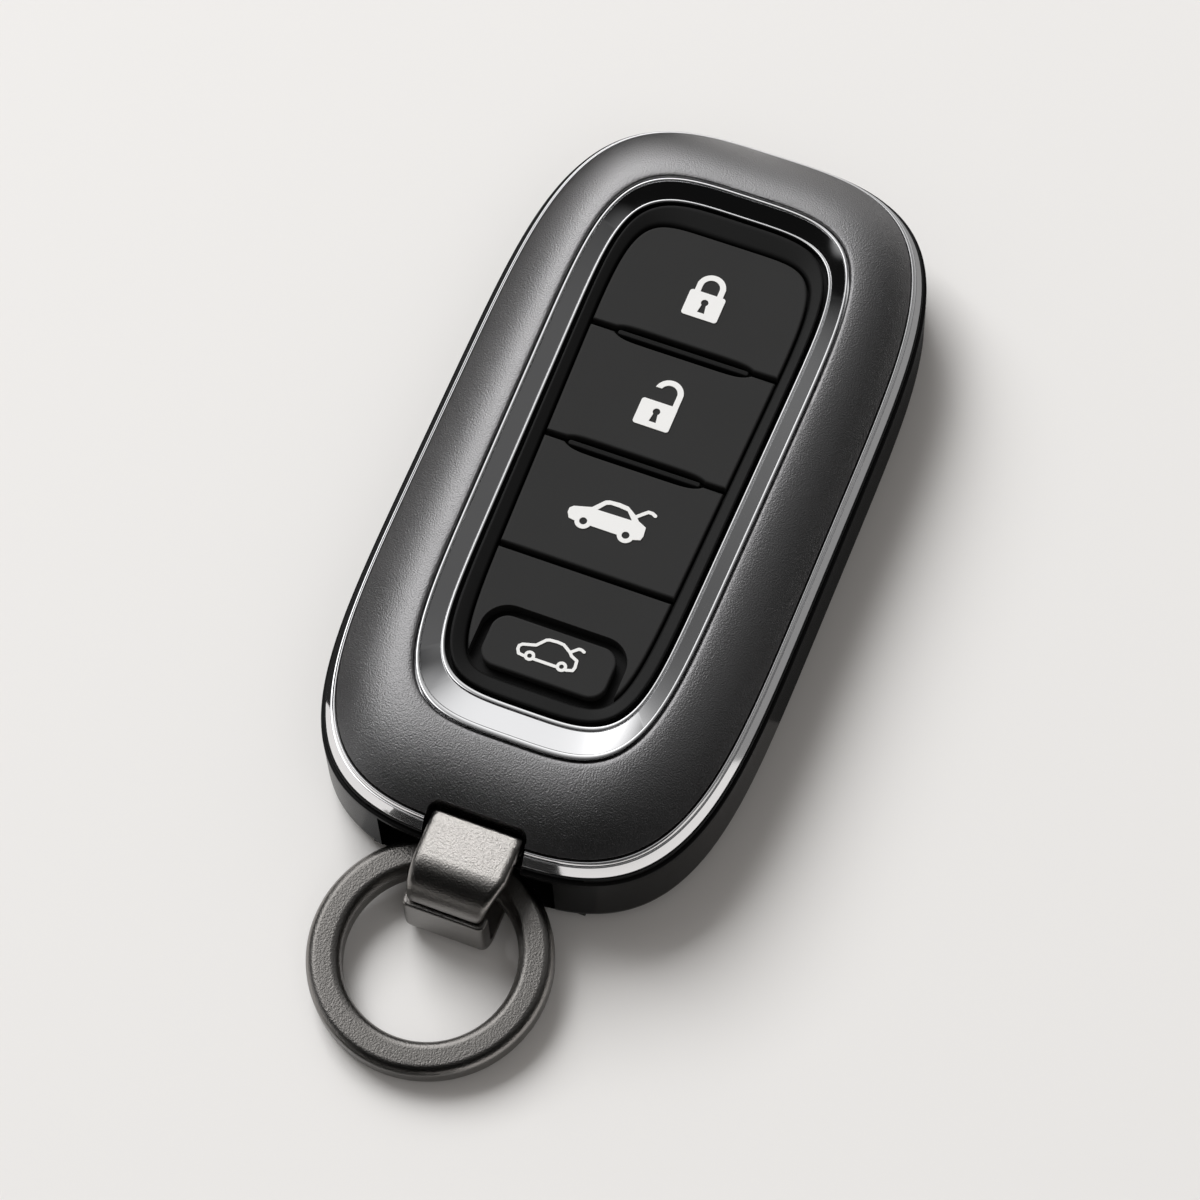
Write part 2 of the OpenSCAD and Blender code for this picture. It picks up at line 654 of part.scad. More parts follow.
module keypad_frame() {
    outer = grow(bezel, -rim_gap);
    inner = grow(keys, fit);
    rows = [[inner, web_z - sink], [inner, key_z - clearance - fit], [grow(keys, clearance), key_z - fit],
        [grow(outer, -clearance), key_z + rim_rise], [outer, key_z + rim_rise - clearance], [outer, web_z - sink]];
    color("#2f2f30") union() {
        skin([for (i = [len(rows) - 1 : -1 : 0]) lift(outline(rows[i][0]), rows[i][1])], true);
        translate([0, 0, web_z - web_t]) linear_extrude(web_t) difference() {
            polygon(outline(grow(window, flange_w - fit)));
            for (y = [lock_y, unlock_y, trunk_y, hatch_y])
                translate([0, y]) circle(plunger_r + clearance);
        }
        finger_rib(divide_1);
        finger_rib(divide_2);
    }
}

module keypad_retainer() {
    low = tray_y + fit;
    high = case_l / 2 - band_foot - fit - lip_t - 2 * clearance;
    half = case_w / 2 - band_foot - fit - lip_t - 2 * clearance;
    color("#4a4c50") translate([0, 0, retainer_z]) linear_extrude(retainer_t - seat_gap) difference() {
        polygon(outline(framed(half, 0, low, high, side_power, end_power)));
        polygon(outline(grow(keys, -rim_side / 2)));
        for (s = [-1, 1], y = boss_y) translate([s * boss_x(y), y]) circle(screw_r + bore_gap);
    }
}

module retainer_screws() {
    color("#c9cacc") at_bosses(retainer_z - seat_gap) screw(boss_bore - retainer_z - clearance);
}

// Padlock seen from the front, its body's centre at the origin
module padlock(open) {
    body_l = padlock_w * 0.79;
    ring = padlock_w * 0.395;
    bar = padlock_w * 0.16;
    rise = padlock_w * (open ? 0.72 : 0.58);
    shift = open ? padlock_w * 0.1 : 0;
    difference() {
        round_plate(padlock_w, body_l, bar / 2);
        translate([0, body_l / 8]) circle(padlock_w * 0.1);
        polygon([[-bar * 0.3, body_l / 8], [bar * 0.3, body_l / 8], [bar * 0.62, -body_l * 0.28],
            [-bar * 0.62, -body_l * 0.28]]);
    }
    difference() {
        translate([shift, rise]) circle(ring);
        translate([shift, rise]) circle(ring - bar);
        if (open) translate([shift - ring, rise]) rotate(160) translate([-bar, 0]) square(2 * ring);
        translate([shift, rise - ring]) square([2 * ring + bar, 2 * ring], center = true);
        if (open) translate([shift - ring, rise]) square([2 * ring, bar], center = true);
    }
    for (s = open ? [1] : [-1, 1])
        translate([shift + s * (ring - bar / 2), (body_l / 2 + rise) / 2]) square([bar, rise - body_l / 2 + bar], center = true);
}

module lock_icon() {
    color("#f2f2f0") translate([0, lock_y - sign_drop, key_z]) linear_extrude(sign_t) padlock(false);
}
module unlock_icon() {
    color("#f2f2f0") translate([0, unlock_y - sign_drop, key_z]) linear_extrude(sign_t) padlock(true);
}

// Car with its boot lid up, as shares of its length
BODY_SHARES = [[-0.5, -0.06], [-0.5, 0], [-0.46, 0.04], [-0.25, 0.1], [-0.13, 0.24], [-0.08, 0.26], [0.05, 0.27],
    [0.16, 0.26], [0.3, 0.17], [0.345, 0.12], [0.455, 0.07], [0.47, -0.05], [0.455, -0.11], [0.36, -0.14],
    [-0.38, -0.14], [-0.46, -0.13]];
GLASS_SHARES = [[-0.175, 0.09], [-0.1, 0.19], [-0.05, 0.21], [0.055, 0.21], [0.17, 0.2], [0.265, 0.1]];
LID_SHARES = [[0.3, 0.17], [0.35, 0.22], [0.41, 0.275], [0.46, 0.275], [0.505, 0.255]];
WHEEL_SHARES = [[-0.28, -0.11], [0.265, -0.11]];

// Line of one thickness through points
module stroke(points, width) {
    for (i = [0 : len(points) - 2]) {
        run = points[i + 1] - points[i];
        translate(points[i]) rotate(atan2(run[1], run[0]))
            translate([0, -width / 2]) square([norm(run), width]);
        translate(points[i + 1]) circle(width / 2);
    }
    translate(points[0]) circle(width / 2);
}

module trunk_icon() {
    lid_line = car_w * 0.045;
    color("#f2f2f0") translate([0, trunk_y - sign_drop / 2, key_z]) linear_extrude(sign_t) difference() {
        union() {
            polygon(car_w * BODY_SHARES);
            stroke(car_w * LID_SHARES, lid_line);
            for (w = WHEEL_SHARES) translate(car_w * w) circle(car_w * 0.105);
        }
        polygon(car_w * GLASS_SHARES);
        for (w = WHEEL_SHARES) translate(car_w * w) circle(car_w * 0.048);
    }
}
module hatch_icon() {
    color("#f2f2f0") translate([0, hatch_y, key_z]) linear_extrude(sign_t) difference() {
        union() {
            stroke(small_car_w * concat(BODY_SHARES, [BODY_SHARES[0]]), car_line);
            stroke(small_car_w * LID_SHARES, car_line);
            for (w = WHEEL_SHARES) translate(small_car_w * w) circle(small_car_w * 0.09);
        }
        for (w = WHEEL_SHARES) translate(small_car_w * w) circle(small_car_w * 0.09 - car_line);
    }
}

back_shell();
inner_tray();
ring_hook();
hook_screws();
strap_pin();
loop_strap();
key_ring();
front_shell();
side_trim_band();
window_bezel();
keypad_frame();
lower_panel();
keypad_retainer();
retainer_screws();
lock_button();
unlock_button();
trunk_button();
hatch_button();
lock_icon();
unlock_icon();
trunk_icon();
hatch_icon();
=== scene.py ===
# The photograph's key fob cover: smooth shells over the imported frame, finishes, light and camera.
import json
import math
from collections import namedtuple

import bmesh
import bpy
from mathutils import Matrix, Vector


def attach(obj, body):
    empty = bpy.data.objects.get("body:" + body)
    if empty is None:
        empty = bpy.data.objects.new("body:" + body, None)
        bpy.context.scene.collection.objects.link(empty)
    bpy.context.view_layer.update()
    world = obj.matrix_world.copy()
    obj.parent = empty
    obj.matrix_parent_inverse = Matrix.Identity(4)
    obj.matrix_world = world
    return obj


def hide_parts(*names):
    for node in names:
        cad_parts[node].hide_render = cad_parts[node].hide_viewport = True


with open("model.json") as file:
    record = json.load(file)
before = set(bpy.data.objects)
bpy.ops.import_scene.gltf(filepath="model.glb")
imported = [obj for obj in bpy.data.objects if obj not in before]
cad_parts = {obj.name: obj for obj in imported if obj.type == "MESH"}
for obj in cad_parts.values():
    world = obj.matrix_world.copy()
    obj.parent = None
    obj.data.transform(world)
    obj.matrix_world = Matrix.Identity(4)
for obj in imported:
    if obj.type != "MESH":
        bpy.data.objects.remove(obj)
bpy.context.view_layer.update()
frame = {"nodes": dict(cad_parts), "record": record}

# Millimetres to metres; every size below is in millimetres unless it says otherwise
MM = 0.001
ROUND_STEPS, CIRCLE_STEPS, RING_STEPS, BARREL_STEPS = 360, 32, 180, 72
FIELD_STEPS, LENS_STEPS = 40, 16
# How far cutters reach past a face and joined solids sink in, two clearances, and how near points merge
OVER, SINK, FIT, GAP, WELD = 1.0, 0.2, 0.2, 0.1, 0.001
SMOOTH_TURN = 34

# Outlines: half width, widening at the far end, middle, half length, side power, end power
Outline = namedtuple("Outline", "half_w widen mid half_l sides ends")
CASE = Outline(22.0, 0.0, 0.0, 43.8, 3.4, 4.75)
WINDOW_SIDE, WINDOW_TOP, WINDOW_BOTTOM = 7.15, 7.72, 9.52
BEZEL_SIDE, BEZEL_TOP, BEZEL_BOTTOM = 2.56, 2.46, 4.6
RIM_SIDE, RIM_TOP, RIM_BOTTOM = 1.9, 3.25, 2.43
WIDEN, WIDEN_STEP = 0.6, 0.25


def framed(half_w, widen, low, high, sides, ends):
    """Outline between two places along the case."""
    return Outline(half_w, widen, (low + high) / 2, (high - low) / 2, sides, ends)


window_low = -CASE.half_l + WINDOW_BOTTOM
window_high = CASE.half_l - WINDOW_TOP
window_half = CASE.half_w - WINDOW_SIDE
bezel_low = window_low + BEZEL_BOTTOM
bezel_high = window_high - BEZEL_TOP
bezel_half = window_half - BEZEL_SIDE
keys_low = bezel_low + RIM_BOTTOM
keys_high = bezel_high - RIM_TOP
WINDOW = framed(window_half, WIDEN, window_low, window_high, 3.81, 5.95)
BEZEL = framed(bezel_half, WIDEN, bezel_low, bezel_high, 3.99, 7.9)
KEYS = framed(bezel_half - RIM_SIDE, WIDEN + WIDEN_STEP, keys_low, keys_high, 6.24, 7.05)

# Heights above the table
BAND_Z = 10.17
EDGE_Z = 12.13
WINDOW_Z = 15.47
KEY_Z = 14.19
WEB_Z = 12.59
WEB_T = 0.65
PAD_Z = 13.19


def grow(o, by):
    """The outline moved out by a distance."""
    return o._replace(half_w=o.half_w + by, half_l=o.half_l + by)


def mix(a, b, share):
    """An outline between two others."""
    return Outline(*[p * (1 - share) + q * share for p, q in zip(a, b)])


def signed(v, p):
    """Power that keeps the sign."""
    return math.copysign(abs(v) ** p, v)


def spot(o, angle):
    """Point on an outline."""
    v = signed(math.sin(angle), 2 / o.ends)
    return (o.half_w + o.widen * v) * signed(math.cos(angle), 2 / o.sides), o.mid + o.half_l * v


def angle_at(o, y):
    """The outline's angle at a place along the case."""
    v = max(-1.0, min(1.0, (y - o.mid) / o.half_l))
    return math.asin(signed(v, o.ends / 2))


def outline(o):
    """Points round an outline, anticlockwise from above."""
    return [spot(o, math.tau * i / ROUND_STEPS) for i in range(ROUND_STEPS)]


def arc(centre, r, start, end, steps):
    """Points on an arc, in degrees."""
    turns = [math.radians(start + (end - start) * i / steps) for i in range(steps + 1)]
    return [(centre[0] + r * math.cos(a), centre[1] + r * math.sin(a)) for a in turns]


def circle(centre, r, steps=CIRCLE_STEPS):
    """Points round a circle."""
    return arc(centre, r, 0, 360 - 360 / steps, steps - 1)


def curve(p, corner, q, t):
    """Point on a curve that leaves p and reaches q along lines through a corner."""
    return tuple(p * (1 - t) ** 2 + corner * 2 * t * (1 - t) + q * t * t)


def rounded(corners, closed=True, steps=5):
    """Corners given as (across, up, radius) turned into points, each corner rounded by its radius."""
    points = []
    for i, (x, z, r) in enumerate(corners):
        here = Vector((x, z))
        if r == 0 or (not closed and i in (0, len(corners) - 1)):
            points.append((x, z))
            continue
        before = Vector(corners[i - 1][:2]) - here
        after = Vector(corners[(i + 1) % len(corners)][:2]) - here
        p = here + before.normalized() * min(r, before.length / 2)
        q = here + after.normalized() * min(r, after.length / 2)
        points += [curve(p, here, q, k / steps) for k in range(steps + 1)]
    return points


def placed(name, data):
    """An object that shows some data in the scene."""
    thing = bpy.data.objects.new(name, data)
    bpy.context.scene.collection.objects.link(thing)
    return thing


def new_piece(name, points, faces):
    """A mesh object from points in millimetres."""
    mesh = bpy.data.meshes.new(name)
    mesh.from_pydata([Vector(p) * MM for p in points], [], faces)
    piece = placed(name, mesh)
    settle(piece)
    return piece


def settle(piece):
    """Faces outwards, and smooth except where the surface turns sharply."""
    bm = bmesh.new()
    bm.from_mesh(piece.data)
    bmesh.ops.remove_doubles(bm, verts=bm.verts, dist=WELD * MM)
    bmesh.ops.recalc_face_normals(bm, faces=bm.faces)
    for face in bm.faces:
        face.smooth = True
    for edge in bm.edges:
        edge.smooth = edge.is_manifold and edge.calc_face_angle(0) < math.radians(SMOOTH_TURN)
    bm.to_mesh(piece.data)
    bm.free()


def even_normals(piece):
    """Large flat faces keep their own shading beside small rounded edges."""
    piece.modifiers.new("even_normals", "WEIGHTED_NORMAL").keep_sharp = True


def loft(name, rows, closed):
    """Skin over rows of points, closed on itself or capped at both ends."""
    n, m = len(rows[0]), len(rows)
    faces = []
    for j in range(m if closed else m - 1):
        for i in range(n):
            k, up = (i + 1) % n, (j + 1) % m
            faces.append((j * n + i, j * n + k, up * n + k, up * n + i))
    if not closed:
        faces.append(tuple(reversed(range(n))))
        faces.append(tuple((m - 1) * n + i for i in range(n)))
    return new_piece(name, [p for row in rows for p in row], faces)


def ring_of(name, profile, shape, closed=True):
    """Loft of a profile of (across, height) points, where shape gives the outline at a distance across."""
    return loft(name, [[(x, y, z) for x, y in outline(shape(u))] for u, z in profile], closed)


def prism(name, side, width, middle=0.0):
    """Solid with a side view of (along, height) points and a width across."""
    n = len(side)
    points = [(middle + s * width / 2, y, z) for s in (-1, 1) for y, z in side]
    faces = [(i, (i + 1) % n, n + (i + 1) % n, n + i) for i in range(n)]
    faces += [tuple(reversed(range(n))), tuple(range(n, 2 * n))]
    return new_piece(name, points, faces)


def plate(name, points, low, high):
    """Solid with an outline seen from above and two heights."""
    return loft(name, [[(x, y, z) for x, y in points] for z in (low, high)], False)


def round_plate(x0, y0, x1, y1, r, steps=10):
    """Rectangle with round corners, anticlockwise."""
    return (
        arc((x1 - r, y1 - r), r, 0, 90, steps)
        + arc((x0 + r, y1 - r), r, 90, 180, steps)
        + arc((x0 + r, y0 + r), r, 180, 270, steps)
        + arc((x1 - r, y0 + r), r, 270, 360, steps)
    )


def combine(piece, tool, operation="DIFFERENCE"):
    """Boolean of two solids, with its result kept as the piece's own mesh."""
    change = piece.modifiers.new("change", "BOOLEAN")
    change.object, change.operation, change.solver = tool, operation, "EXACT"
    result = bpy.data.meshes.new_from_object(piece.evaluated_get(bpy.context.evaluated_depsgraph_get()))
    piece.modifiers.clear()
    old, piece.data = piece.data, result
    bpy.data.meshes.remove(old)
    bpy.data.objects.remove(tool)
    settle(piece)


def rectangle(half, low, high):
    """Rectangle from above, even about the middle line."""
    return [(-half, low), (half, low), (half, high), (-half, high)]


def soften_edges(piece, width, segments, angle):
    """Rounds the edges that turn by more than an angle."""
    bevel = piece.modifiers.new("edges", "BEVEL")
    bevel.width, bevel.segments = width * MM, segments
    bevel.limit_method, bevel.angle_limit = "ANGLE", math.radians(angle)
    bevel.miter_outer = "MITER_ARC"
    even_normals(piece)


def join(name, pieces):
    """Several solids as one object."""
    bm = bmesh.new()
    for piece in pieces:
        bm.from_mesh(piece.data)
    mesh = bpy.data.meshes.new(name)
    bm.to_mesh(mesh)
    bm.free()
    for piece in pieces:
        bpy.data.objects.remove(piece)
    return placed(name, mesh)


# Finishes
GLOSS_PATCH = 9.0
GRAIN_DETAIL = 3


def constant(node, name, value):
    """A constant on a node's input."""
    node.inputs[name].default_value = value


def finish(name, colour, metal, rough, grain_mm, grain, rough_spread=0.04, specular=0.5, relief=0.02):
    """Principled material with a fine moulded or blasted grain and a slow change of gloss."""
    material = bpy.data.materials.new(name)
    material.use_nodes = True
    nodes, links = material.node_tree.nodes, material.node_tree.links
    shader = nodes["Principled BSDF"]
    constant(shader, "Base Color", (*colour, 1))
    constant(shader, "Metallic", metal)
    constant(shader, "Specular IOR Level", specular)
    place = nodes.new("ShaderNodeTexCoord")
    fine = nodes.new("ShaderNodeTexNoise")
    constant(fine, "Scale", 1 / (grain_mm * MM))
    constant(fine, "Detail", GRAIN_DETAIL)
    links.new(place.outputs["Object"], fine.inputs["Vector"])
    bump = nodes.new("ShaderNodeBump")
    constant(bump, "Strength", grain)
    constant(bump, "Distance", relief * MM)
    links.new(fine.outputs["Fac"], bump.inputs["Height"])
    links.new(bump.outputs["Normal"], shader.inputs["Normal"])
    slow = nodes.new("ShaderNodeTexNoise")
    constant(slow, "Scale", 1 / (GLOSS_PATCH * MM))
    links.new(place.outputs["Object"], slow.inputs["Vector"])
    gloss = nodes.new("ShaderNodeMapRange")
    constant(gloss, "To Min", rough - rough_spread)
    constant(gloss, "To Max", rough + rough_spread)
    links.new(slow.outputs["Fac"], gloss.inputs["Value"])
    links.new(gloss.outputs["Result"], shader.inputs["Roughness"])
    return material


FINISHES = {
    "gunmetal": finish("gunmetal", (0.355, 0.35, 0.355), 1.0, 0.3, 0.17, 0.9, relief=0.06),
    "bright_trim": finish("bright_trim", (0.86, 0.86, 0.87), 1.0, 0.1, 0.8, 0.03, rough_spread=0.02),
    "soft_black": finish("soft_black", (0.006, 0.006, 0.006), 0.0, 0.42, 0.12, 0.2, specular=0.2),
    "button_grey": finish("button_grey", (0.024, 0.024, 0.024), 0.0, 0.62, 0.1, 0.5, specular=0.35),
    "sign_white": finish("sign_white", (0.86, 0.86, 0.85), 0.0, 0.5, 0.15, 0.1),
    "back_black": finish("back_black", (0.007, 0.007, 0.0071), 0.0, 0.26, 0.2, 0.1,
                         rough_spread=0.03, specular=0.08),
    "inner_black": finish("inner_black", (0.005, 0.005, 0.005), 0.0, 0.7, 0.2, 0.4, specular=0.2),
    "loop_metal": finish("loop_metal", (0.325, 0.311, 0.297), 1.0, 0.3, 0.2, 0.8, relief=0.05),
    "plate_dark": finish("plate_dark", (0.05, 0.053, 0.056), 0.0, 0.5, 0.2, 0.3),
    "screw_steel": finish("screw_steel", (0.5, 0.5, 0.5), 1.0, 0.3, 0.2, 0.2),
}
SLOT_OF = {part["node"]: part["material_slot"] for part in frame["record"]["subparts"]}
BODY_OF = {node: body for body, nodes in frame["record"]["behaviour"]["bodies"].items() for node in nodes}
for node, obj in frame["nodes"].items():
    for held in obj.material_slots:
        held.material = FINISHES[SLOT_OF[node]]


def ride_as(piece, node):
    """The piece moves, and takes its finish, as a CAD node does."""
    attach(piece, BODY_OF[node])
    piece.data.materials.clear()
    piece.data.materials.append(FINISHES[SLOT_OF[node]])


def stand_for(piece, node):
    """The piece is shown in place of a CAD node."""
    ride_as(piece, node)
    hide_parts(node)


# Front shell: a dome between the case's edge and the window's lip, with a notch for the strap
EDGE_STEP, SEAT_W, SHELL_T = 0.2, 1.2, 1.4
DOME_H, CREST_H, CREST_SHARE, DOME_POWER = 3.34, 0.1, 0.97, 1.8
EDGE_CHAMFER, LIP_R, LIP_DROP = 0.3, 0.28, 1.6
DOME_STEPS, DOME_CROWD, LIP_STEPS = 30, 1.4, 6
STRAP_W, NOTCH_GAP, NOTCH_D, NOTCH_R = 10.1, 0.45, 1.9, 1.1
NOTCH_W = STRAP_W + 2 * NOTCH_GAP
SHELL_EDGE, PANEL_EDGE, SHARP_TURN = 0.09, 0.16, 50


def dome(share):
    """Height of the dome's face at a share of the way in."""
    if share < CREST_SHARE:
        rise = DOME_H - EDGE_CHAMFER + CREST_H
        return EDGE_Z + EDGE_CHAMFER + rise * (1 - (1 - share / CREST_SHARE) ** DOME_POWER)
    return WINDOW_Z + CREST_H * (1 - ((share - CREST_SHARE) / (1 - CREST_SHARE)) ** 2)


def underside(share):
    """Height of the dome's underside."""
    return EDGE_Z + (DOME_H - SHELL_T) * (1 - (1 - share) ** DOME_POWER)


def end_notch(middle, width, depth, r, low, high):
    """Tool that opens the end of a shell for the loop."""
    near = -CASE.half_l + depth
    far = -CASE.half_l - r * 2 - OVER * 2
    return plate("notch", round_plate(middle - width / 2, far, middle + width / 2, near, r), low, high)


edge = grow(CASE, -EDGE_STEP)
seat_u = SEAT_W * WINDOW_SIDE / (WINDOW_SIDE - EDGE_STEP)
dome_span = WINDOW_SIDE - EDGE_STEP
lip_from = dome_span - LIP_R
shell_line = [(EDGE_CHAMFER / 2, EDGE_Z), (EDGE_CHAMFER / 4, EDGE_Z + EDGE_CHAMFER / 4)]
for i in range(DOME_STEPS + 1):
    u = lip_from * (i / DOME_STEPS) ** DOME_CROWD
    shell_line.append((u, dome(u / dome_span)))
lip_start = Vector((lip_from, dome(lip_from / dome_span)))
lip_corner = Vector((dome_span, WINDOW_Z))
lip_end = Vector((dome_span, WINDOW_Z - LIP_R * LIP_DROP))
shell_line += [curve(lip_start, lip_corner, lip_end, i / LIP_STEPS) for i in range(1, LIP_STEPS + 1)]
for i in range(LIP_STEPS, -1, -1):
    s = i / LIP_STEPS
    shell_line.append((seat_u + (dome_span - seat_u) * s, underside(s)))
front = ring_of("front_cover", shell_line, lambda u: mix(edge, WINDOW, u / dome_span))
combine(front, end_notch(0, NOTCH_W, NOTCH_D, NOTCH_R, BAND_Z - OVER, WINDOW_Z + OVER))
soften_edges(front, SHELL_EDGE, 2, SHARP_TURN)
stand_for(front, "front_shell")

# Chrome band under the front's edge, with a pinstripe over a fine groove
BAND_OUT, BAND_IN, BAND_LIP = 1.1, 1.0, 0.2
LIP_IN, FACE_OUT, FACE_FLAT, FACE_IN = 0.6, 0.94, 0.14, 0.4
GROOVE_W, GROOVE_LOW_IN, GROOVE_TOP_IN = 0.2, 0.14, 0.04
STRIPE_H, STRIPE_LOW_OUT, STRIPE_TOP_OUT, STRIPE_IN, STRIPE_DROP = 0.3, 0.26, 0.1, -0.04, 0.03
EDGE_SEAM_H, SEAM_LAP = 0.3, 0.02
stripe_low = EDGE_Z - STRIPE_H
stripe_top = EDGE_Z - STRIPE_DROP
groove_low = stripe_low - GROOVE_W
seam_low = EDGE_Z - EDGE_SEAM_H
lip_top = BAND_Z + BAND_LIP
band_line = rounded([
    (-BAND_IN, BAND_Z, 0), (LIP_IN, BAND_Z, 0), (LIP_IN, lip_top, 0),
    (FACE_OUT, lip_top, 0.03), (FACE_OUT, lip_top + FACE_FLAT, 0.06), (FACE_IN, groove_low, 0.04),
    (GROOVE_LOW_IN, groove_low + SEAM_LAP, 0), (GROOVE_TOP_IN, stripe_low - SEAM_LAP, 0),
    (STRIPE_LOW_OUT, stripe_low, 0.05), (STRIPE_TOP_OUT, stripe_top, 0.05), (STRIPE_IN, stripe_top, 0.03),
    (STRIPE_IN - SEAM_LAP, seam_low, 0), (-BAND_IN, seam_low, 0),
])


def band_ring(name, line):
    """Ring under the front's edge, open at the loop's notch."""
    whole = ring_of(name, line, lambda u: grow(CASE, u))
    combine(whole, end_notch(0, NOTCH_W + FIT, NOTCH_D + OVER, NOTCH_R, BAND_Z - OVER, EDGE_Z + OVER))
    return whole


band = band_ring("trim_band", band_line)
even_normals(band)
stand_for(band, "side_trim_band")


def painted_shade_line(name, low, high, inner, outer):
    """Black ring that fills a groove round the case: painted shade where the groove is in shadow."""
    shade_ring = band_ring(name, [(outer, low), (outer, high), (inner, high), (inner, low)])
    ride_as(shade_ring, "keypad_frame")


# Painted shade: black rings in the groove under the pinstripe, under the band's lower lip and under the
# front's edge
painted_shade_line("stripe_painted_shade", groove_low + SEAM_LAP, stripe_low - SEAM_LAP, -0.2, STRIPE_LOW_OUT - 2 * SEAM_LAP)
painted_shade_line("lip_painted_shade", BAND_Z, lip_top, LIP_IN - SEAM_LAP, BAND_OUT)
painted_shade_line("edge_painted_shade", seam_low, stripe_top - STRIPE_DROP, -0.6, STRIPE_IN - 2 * SEAM_LAP)

# Bezel between the shell's lip and the keypad
BEZEL_GAP, FLANGE_W, FLANGE_DROP, BEZEL_DROP = 0.15, 0.9, 0.25, 1.26
BEAD_W, BEAD_H, BEAD_DROP, BEAD_LEAN = 0.35, 0.12, 0.1, 0.02
SLOPE_RISE, INNER_BEAD_H, INNER_LEAN = 0.06, 0.2, 0.05
WEB_GAP = 0.02
bezel_out = grow(WINDOW, -BEZEL_GAP)
bezel_span = BEZEL_SIDE - BEZEL_GAP
bead_top = WINDOW_Z + BEAD_H
slope_low = WINDOW_Z - BEZEL_DROP
inner_bead = slope_low + INNER_BEAD_H
flange_top = WINDOW_Z - SHELL_T - FLANGE_DROP
bezel_line = rounded([
    (0, WINDOW_Z, 0), (0, bead_top, 0.16), (BEAD_W, bead_top, 0.18),
    (BEAD_W + BEAD_LEAN, WINDOW_Z - BEAD_DROP, 0.05), (bezel_span - BEAD_W, slope_low + SLOPE_RISE, 0.04),
    (bezel_span - BEAD_W + INNER_LEAN, inner_bead, 0.1), (bezel_span, inner_bead, 0.2),
    (bezel_span, WEB_Z + WEB_GAP, 0),
    (-FLANGE_W, WEB_Z + WEB_GAP, 0), (-FLANGE_W, flange_top, 0), (0, flange_top, 0),
])
bezel = ring_of("bezel_frame", bezel_line, lambda u: mix(bezel_out, BEZEL, u / bezel_span))
even_normals(bezel)
stand_for(bezel, "window_bezel")

# Keypad: raised rim, web with holes for the plungers, and finger ribs
LOCK_L, UNLOCK_L, TRUNK_L, LOWER_L = 14.32, 14.45, 14.1, 14.75
RIM_GAP, RIM_RISE, RIM_DROP = 0.4, 0.35, 0.04
HATCH_SHARE, HATCH_L, HATCH_R, MOAT, SLOT_REACH = 0.675, 6.1, 1.9, 1.15, 3
PLUNGER_R, PLUNGER_GAP, PLUNGER_REACH = 1.5, 0.25, 0.68
RIB_INSET, RIB_T, RIB_FLAT = 2.8, 0.68, 0.01
FAR_GAP, NEAR_GAP, PAD_GAP = 0.42, 0.7, 0.33
LENS_POWER = 9
RIB_SHIFT = (NEAR_GAP - FAR_GAP) / 2 + RIB_T / 8
RIB_L = 2 * (KEYS.half_w - RIB_INSET)
HATCH_W = 2 * KEYS.half_w * HATCH_SHARE
spread = (keys_high - keys_low) / (LOCK_L + UNLOCK_L + TRUNK_L + LOWER_L)
divide_1 = keys_high - LOCK_L * spread
divide_2 = divide_1 - UNLOCK_L * spread
divide_3 = divide_2 - TRUNK_L * spread
hatch_run = HATCH_L * spread
centres = {
    "lock_button": (keys_high + divide_1) / 2,
    "unlock_button": (divide_1 + divide_2) / 2,
    "trunk_button": (divide_2 + divide_3) / 2,
    "hatch_button": keys_low + MOAT + hatch_run / 2,
}

rim_out = grow(BEZEL, -RIM_GAP)
rim_in = grow(KEYS, GAP)
rim_span = RIM_SIDE - RIM_GAP - GAP
rim_line = rounded([
    (0, WEB_Z - SINK, 0), (0, KEY_Z + RIM_RISE, 0.34),
    (rim_span, KEY_Z - RIM_DROP, 0.3), (rim_span, WEB_Z - SINK, 0),
])
rim = ring_of("rim", rim_line, lambda u: mix(rim_out, rim_in, u / rim_span))
web = plate("web", outline(grow(WINDOW, FLANGE_W - GAP)), WEB_Z - WEB_T, WEB_Z)
for y in centres.values():
    hole = circle((0, y), PLUNGER_R + PLUNGER_GAP)
    combine(web, plate("hole", hole, WEB_Z - WEB_T - OVER, WEB_Z + OVER))
# How far in and how far below its top each row of a rib lies, above its foot
RIB_EDGE = [(0, -0.32), (0.03, -0.2), (0.1, -0.11), (0.2, -0.08)]


def finger_rib(y):
    """Slender bar with round ends and a soft top."""
    rows = []
    for inset, z in [(0, WEB_Z - SINK)] + [(inset, KEY_Z + drop) for inset, drop in RIB_EDGE]:
        x, v = RIB_L / 2 - inset, RIB_T / 2 - inset
        rows.append([(*p, z) for p in round_plate(-x, y - RIB_SHIFT - v, x, y - RIB_SHIFT + v, v - RIB_FLAT)])
    return loft("rib", rows, False)


keypad = join("keypad_rim", [rim, web, finger_rib(divide_1), finger_rib(divide_2)])
even_normals(keypad)
stand_for(keypad, "keypad_frame")


def lens(share, depth):
    """Depth of the hollow that a finger rib passes through."""
    return depth * (1 - abs(share) ** LENS_POWER)


def field(inset, low, high, low_hollow, high_hollow, open_top, open_low):
    """Outline of one button's field, drawn in by an inset."""
    o = grow(KEYS, -PAD_GAP / 3 - inset)
    y0, y1 = low + PAD_GAP + inset, high - PAD_GAP - inset
    start = -math.pi / 2 if open_low else angle_at(o, y0)
    end = math.pi / 2 if open_top else angle_at(o, y1)
    half = RIB_L / 2 + NEAR_GAP / 2
    right = [spot(o, start + (end - start) * i / FIELD_STEPS) for i in range(FIELD_STEPS + 1)]
    left = [(-x, y) for x, y in reversed(right)]
    shares = [math.sin(math.pi / 2 * (i / LENS_STEPS - 1)) for i in range(2 * LENS_STEPS + 1)]
    top = [] if open_top else [(-s * half, y1 - lens(s, high_hollow)) for s in shares]
    low_edge = [] if open_low else [(s * half, y0 + lens(s, low_hollow)) for s in shares]
    points = right + top + (left[1:] if open_top else left) + low_edge
    return points[:-1] if open_low else points


